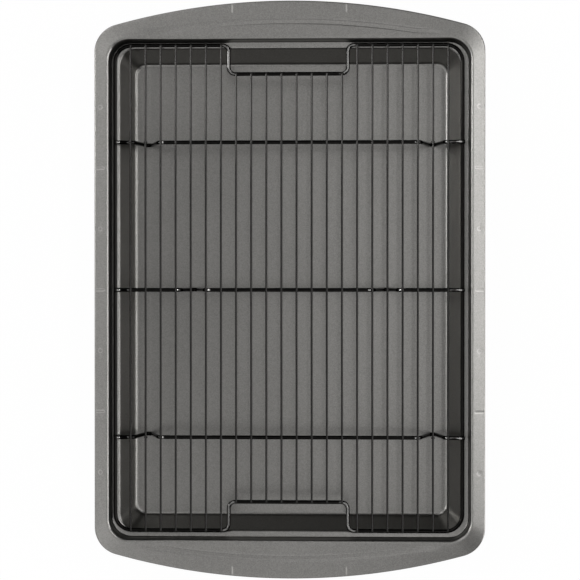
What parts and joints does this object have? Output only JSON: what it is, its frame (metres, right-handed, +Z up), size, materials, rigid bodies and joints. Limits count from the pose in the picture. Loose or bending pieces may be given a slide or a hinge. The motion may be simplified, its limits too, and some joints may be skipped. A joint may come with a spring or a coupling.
{
  "type": "baking pan with rack",
  "caption": "Rectangular non-stick baking pan with bowed end handles and a ledge in its wall, holding a lift-out footed wire rack of lengthwise bars.",
  "frame": {"origin": "on the table under the middle of the pan's floor, which is the middle of the pan's outline", "axes": "+X across the pan, +Y along it towards the far bowed end, +Z up out of the pan"},
  "size_m": [0.3014, 0.4456, 0.0456],
  "materials": {
    "non_stick_coating": "satin grey non-stick coating with a fine metallic speckle, on stamped steel sheet",
    "black_wire_coating": "glossy black non-stick coating on welded steel wire"
  },
  "bodies": {
    "pan": {"pan_shell": "non_stick_coating"},
    "rack": {"frame_wire": "black_wire_coating", "cross_wire_near": "black_wire_coating", "cross_wire_middle": "black_wire_coating", "cross_wire_far": "black_wire_coating", "bar_01": "black_wire_coating", "bar_02": "black_wire_coating", "bar_03": "black_wire_coating", "bar_04": "black_wire_coating", "bar_05": "black_wire_coating", "bar_06": "black_wire_coating", "bar_07": "black_wire_coating", "bar_08": "black_wire_coating", "bar_09": "black_wire_coating", "bar_10": "black_wire_coating", "bar_11": "black_wire_coating", "bar_12": "black_wire_coating", "bar_13": "black_wire_coating", "bar_14": "black_wire_coating", "bar_15": "black_wire_coating", "bar_16": "black_wire_coating", "bar_17": "black_wire_coating", "bar_18": "black_wire_coating", "bar_19": "black_wire_coating", "bar_20": "black_wire_coating", "bar_21": "black_wire_coating", "bar_22": "black_wire_coating"}
  },
  "joints": [
    {"name": "rack_lift", "type": "slide", "parent": "pan", "child": "rack", "axis": [0, 0, 1], "range_m": [0, 0.08]}
  ]
}
